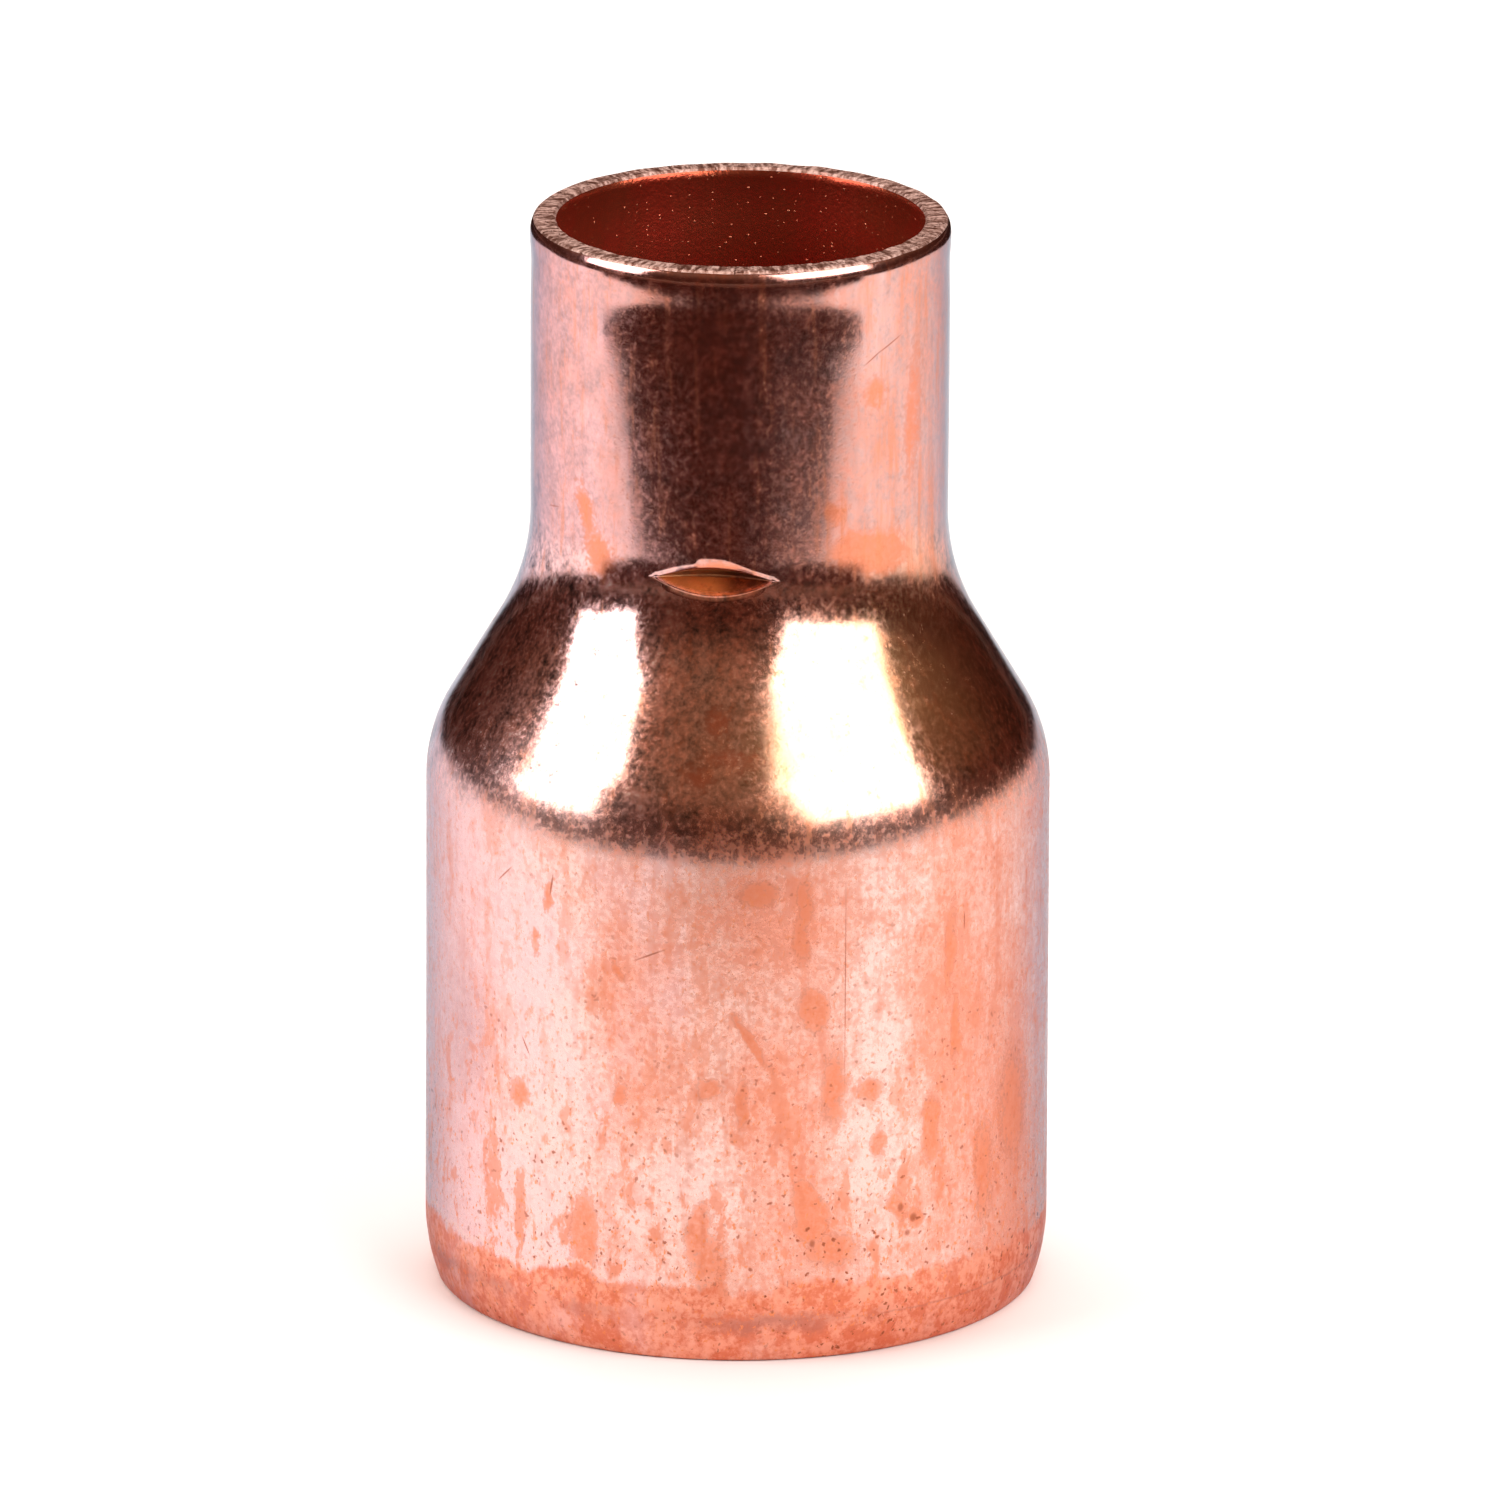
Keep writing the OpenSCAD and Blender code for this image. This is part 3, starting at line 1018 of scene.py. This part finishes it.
def bandTint(tree, wall, tint):
    # The band at the large end that stood in something wet, the smudged tool mark that runs round it, and a
    # thin line of painted shade along that mark on the right side.
    edge = noise(tree, wall["Place"], 4.0, detail=5)
    wave = swing(tree, edge, 3.4, wall["Height"])
    wave = swing(tree, wall["streaks"], 1.6, wave)
    band = ramp(tree, wave, skin["tideHeight"] - 0.35, skin["tideHeight"] + 0.15, 1.0, 0.0)
    band = times(tree, band, ramp(tree, wall["clouds"], 0.30, 0.50, 0.55, 1.0))
    depth = ramp(tree, swing(tree, wall["fine"], 0.5, wall["mottle"]), 0.38, 0.60)
    colour = mixColour(tree, depth, skin["bandLight"], skin["bandDeep"])
    tint = mixColour(tree, times(tree, band, 0.92), tint, colour)
    above = line(tree, wave, skin["tideHeight"] + 0.42, 0.28)
    above = times(tree, above, ramp(tree, wall["Side"], -0.55, 0.05, 0.7, 0.0))
    tint = mixColour(tree, above, tint, skin["pale"])
    around = swing(tree, wall["mottle"], 2.6, wall["Height"])
    smear = ramp(tree, noise(tree, wall["Place"], 8.0, detail=3, shift=(3, 3, 0)), 0.40, 0.62, 0.1, 0.75)
    crease = times(tree, line(tree, around, body["creaseHeight"], 0.95), smear)
    # a thin dark line of painted shade along the tool mark, on the right side only, where the nose curves
    # in
    around = swing(tree, wall["mottle"], 0.5, wall["Height"])
    shadeOnRight = ramp(tree, wall["Side"], 0.1, 0.5, 0.0, 0.5)
    thin = times(tree, line(tree, around, body["creaseHeight"], 0.14), shadeOnRight)
    return mixColour(tree, larger(tree, crease, thin), tint, skin["smudgeAndShade"]), band


def markTint(tree, wall, tint):
    # Flecks, pits, scores and scratches.
    place = wall["Place"]
    zone = fade(tree, wall["lower"], 0.5, fade(tree, wall["cup"], 0.2, 0.25))
    flecks = noise(tree, place, 0.26, detail=3, rough=0.6, stretch=(1, 1, 1.5), shift=(1, 6, 2))
    flecks = ramp(tree, flecks, 0.59, 0.68)
    tint = mixColour(tree, times(tree, flecks, zone), tint, skin["fleck"])
    pits = useGroup(tree, groups["specks"], {
        "Place": wall["Wandered"], "Spacing": 0.5, "Size": 0.095, "Share": 0.8})["Mask"]
    pits = times(tree, pits, ramp(tree, wall["clouds"], 0.38, 0.60, 0.3, 1.0))
    scored = ramp(tree, nearest(tree, place, scores), 0.65, 1.35, 1.0, 0.0)
    hairs = useGroup(tree, groups["scratches"], {
        "Place": place, "Spacing": 2.6, "Length": 0.9, "Width": 0.05, "Share": 0.6, "Upright": 0.1})["Mask"]
    nicks = useGroup(tree, groups["scratches"], {
        "Place": place, "Spacing": 0.9, "Length": 0.26, "Width": 0.055, "Share": 0.7,
        "Upright": 0.3})["Mask"]
    scuffs = larger(tree, hairs, nicks)
    dark = times(tree, pits, fade(tree, wall["lower"], 0.6, fade(tree, wall["cup"], 0.4, 0.0)))
    dark = larger(tree, dark, times(tree, scored, 0.75))
    onCup = times(tree, scuffs, times(tree, wall["cup"], 0.30))
    tint = mixColour(tree, larger(tree, dark, onCup), tint, skin["score"])
    bright = times(tree, scuffs, wall["burnished"])
    return mixColour(tree, bright, tint, skin["fleck"]), flecks, pits, scuffs


def burnishedTint(tree, wall, tint):
    # Cone and neck: a darker neck, a tone that wavers, and olive patches.
    tint = vectorMaths(tree, "MULTIPLY", tint, mixColour(tree, wall["neck"], (1, 1, 1), skin["neckShade"]))
    waver = swing(tree, wall["mottle"], skin["coneMottle"], swing(tree, wall["fine"], skin["coneMottle"]))
    waver = times(tree, waver, fade(tree, wall["neck"], -0.6, 1.0))
    waver = maths(tree, "MULTIPLY_ADD", waver, wall["burnished"], 1.0)
    tint = scaled(tree, tint, waver)
    olive = times(tree, softArea(tree, wall["Wandered"], oliveAreas), wall["burnished"])
    return mixColour(tree, olive, tint, skin["olive"])


def stopTint(tree, wall, tint, inStop):
    # The stops are golden brown, in shadow towards the right.
    colour = mixColour(tree, ramp(tree, wall["Side"], -0.16, 0.02), skin["stopTint"], skin["stopShadow"])
    blotches = ramp(tree, wall["mottle"], 0.45, 0.65, 0.0, 0.7)
    colour = mixColour(tree, blotches, colour, skin["stopShadow"])
    return mixColour(tree, times(tree, inStop, 0.9), tint, colour)


def skinRoughness(tree, wall, band, stained, marks, inStop):
    # Neck and cone are burnished, the cup is duller, and everything on the metal dulls it a little more.
    change = ramp(tree, wall["fine"], 0.42, 0.72, 0.0, 0.16)
    change = maths(tree, "ADD", change, ramp(tree, wall["mottle"], 0.5, 0.75, 0.0, 0.10))
    change = maths(tree, "ADD", change, ramp(tree, wall["streaks"], 0.52, 0.7, 0.0, 0.12))
    change = fade(tree, band, 0.12, fade(tree, stained, 0.08, change))
    rough = fade(tree, wall["dull"], skin["cupRoughness"] - skin["neckRoughness"], skin["neckRoughness"])
    rough = maths(tree, "MULTIPLY_ADD", change, fade(tree, wall["cup"], 0.55, 0.45), rough)
    rough = maths(tree, "MULTIPLY_ADD", marks, fade(tree, wall["cup"], 0.09, 0.05), rough)
    rough = fade(tree, softArea(tree, wall["Wandered"], hazyAreas), skin["haze"], rough)
    return fade(tree, inStop, skin["stopDullness"], rough)


def skinRelief(tree, wall, pits, flecks, scuffs):
    grain = useGroup(tree, groups["grain"], {"Place": wall["Place"], "Tooth": 0.16, "Line Width": 0.22})
    relief = fade(tree, grain["Tooth"], 0.35, times(tree, grain["Lines"], 0.35))
    relief = fade(tree, wall["fine"], 0.35, relief)
    relief = maths(tree, "MULTIPLY_ADD", scuffs, fade(tree, wall["cup"], -0.35, -0.25), relief)
    relief = fade(tree, larger(tree, pits, flecks), -0.3, relief)
    least = skin["neckRelief"]
    return times(tree, relief, fade(tree, wall["toothed"], 1 - least, least))


def finishWith(tree, shader, tint, rough, relief, depth):
    # Joins a finish to its shader; depth is the relief's, in millimetres.
    tree.links.new(tint, shader.inputs["Base Color"])
    tree.links.new(rough, shader.inputs["Roughness"])
    bump = put(tree, "Bump", {"Height": relief, "Distance": depth * metre, "Strength": 1.0})
    tree.links.new(bump.outputs[0], shader.inputs["Normal"])


def makeSkin():
    material, tree, shader = startMaterial("drawnCopper")
    shader.inputs["Specular Tint"].default_value = (*skin["edgeTint"], 1)
    wall = wallValues(tree)
    inStop = ramp(tree, wall["Radius"], neckRadius - 0.35, neckRadius - 0.1, 1.0, 0.0)
    tint = burnishedTint(tree, wall, cloudTint(tree, wall))
    tint, stained = stainTint(tree, wall, tint)
    tint, band = bandTint(tree, wall, tint)
    tint = stopTint(tree, wall, tint, inStop)
    warmth = times(tree, ramp(tree, wall["streaks"], 0.52, 0.7, 0.0, 0.45), wall["burnished"])
    tint = mixColour(tree, warmth, tint, skin["fleck"])
    tint, flecks, pits, scuffs = markTint(tree, wall, tint)
    rough = skinRoughness(tree, wall, band, stained, larger(tree, scuffs, flecks), inStop)
    finishWith(tree, shader, tint, rough, skinRelief(tree, wall, pits, flecks, scuffs), skin["reliefDepth"])
    return material


cutFace = {
    "dark": (0.40, 0.20, 0.16),
    "light": (0.90, 0.62, 0.54),
    "nick": (0.16, 0.06, 0.04),
    "dullness": 0.4,                              # share of the sawn face that scatters light like dust
    "spokes": 34.0,                               # the higher, the narrower the saw's marks
    "reliefDepth": 0.06,
}


def makeCut():
    material, tree, shader = startMaterial("cutCopper")
    where = useGroup(tree, groups["place"], {"Wander": 0.3, "Wander Size": 0.5})
    place = where["Place"]
    # marks run outwards from the axis: noise on the direction, hardly any on the distance
    flat = vectorMaths(tree, "MULTIPLY", place, (1, 1, 0))
    aim = vectorMaths(tree, "NORMALIZE", flat)
    radius = vectorMaths(tree, "LENGTH", flat)
    outward = put(tree, "CombineXYZ", {"Z": times(tree, radius, 0.9)}).outputs[0]
    spokes = vectorMaths(tree, "ADD", scaled(tree, aim, cutFace["spokes"]), outward)
    sawn = put(tree, "TexNoise", {"Vector": spokes, "Scale": 1.0, "Detail": 4.0, "Roughness": 0.65})
    sawn = sawn.outputs["Fac"]
    grain = useGroup(tree, groups["grain"], {"Place": place, "Tooth": 0.2, "Line Width": 0.3})
    nicks = useGroup(tree, groups["scratches"], {
        "Place": place, "Spacing": 1.0, "Length": 0.5, "Width": 0.06, "Share": 0.6})["Mask"]
    tone = ramp(tree, fade(tree, grain["Tooth"], 0.4, sawn), 0.55, 0.85)
    tint = mixColour(tree, tone, cutFace["dark"], cutFace["light"])
    tint = mixColour(tree, nicks, tint, cutFace["nick"])
    tree.links.new(fade(tree, tone, -cutFace["dullness"], 1.0), shader.inputs["Metallic"])
    relief = fade(tree, grain["Tooth"], 0.5, sawn)
    relief = fade(tree, nicks, -0.8, relief)
    finishWith(tree, shader, tint, fade(tree, sawn, 0.3, 0.25), relief, cutFace["reliefDepth"])
    return material


bore = {
    "red": (0.72, 0.10, 0.052),
    "brown": (0.62, 0.125, 0.056),
    "dust": (0.80, 0.34, 0.20),
    "mouthShade": 0.65,                           # how dark it gets under the small mouth's rim
    "shadeDepth": 4.0,
    "reliefDepth": 0.03,
    "metal": 0.90,                                # the rest scatters light like a dull oxide
}


def makeBore():
    material, tree, shader = startMaterial("boreOxide")
    shader.inputs["Metallic"].default_value = bore["metal"]
    where = useGroup(tree, groups["place"], {"Wander": 0.6, "Wander Size": 1.5})
    place = where["Place"]
    clouds = noise(tree, place, 4.0, detail=4)
    grain = useGroup(tree, groups["grain"], {"Place": place, "Tooth": 0.25, "Line Width": 0.4})
    dust = useGroup(tree, groups["specks"], {
        "Place": place, "Spacing": 0.36, "Size": 0.055, "Share": 0.5})["Mask"]
    scratch = useGroup(tree, groups["scratches"], {
        "Place": place, "Spacing": 4.0, "Length": 1.6, "Width": 0.05, "Share": 0.35})["Mask"]
    tint = mixColour(tree, ramp(tree, clouds, 0.35, 0.65), bore["red"], bore["brown"])
    inwards = overallHeight - bore["shadeDepth"]
    shade = ramp(tree, where["Height"], inwards, overallHeight, 1.0, bore["mouthShade"])
    tint = mixColour(tree, larger(tree, dust, scratch), scaled(tree, tint, shade), bore["dust"])
    relief = fade(tree, dust, 1.2, grain["Tooth"])
    finishWith(tree, shader, tint, fade(tree, grain["Lines"], 0.10, 0.20), relief, bore["reliefDepth"])
    return material


# ---- the fitting itself

angle, rows = buildWall()
print("rings", len(rows), "columns", len(angle), "faces", len(rows) * len(angle))
wallMesh = meshFromRows("reducerShell", angle, rows, {"skin": 0, "cut": 1, "bore": 2})
for finish in (makeSkin(), makeCut(), makeBore()):
    wallMesh.materials.append(finish)
print("finishes made")
wallMesh.shade_smooth()
kinds = np.zeros(len(wallMesh.polygons), np.int32)
wallMesh.polygons.foreach_get("material_index", kinds)
wallMesh.polygons.foreach_set("use_smooth", kinds != 1)    # the sawn faces keep crisp edges
shell = bpy.data.objects.new("reducerShell", wallMesh)
bpy.context.collection.objects.link(shell)
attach(shell, "root")
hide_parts("reducer_body")
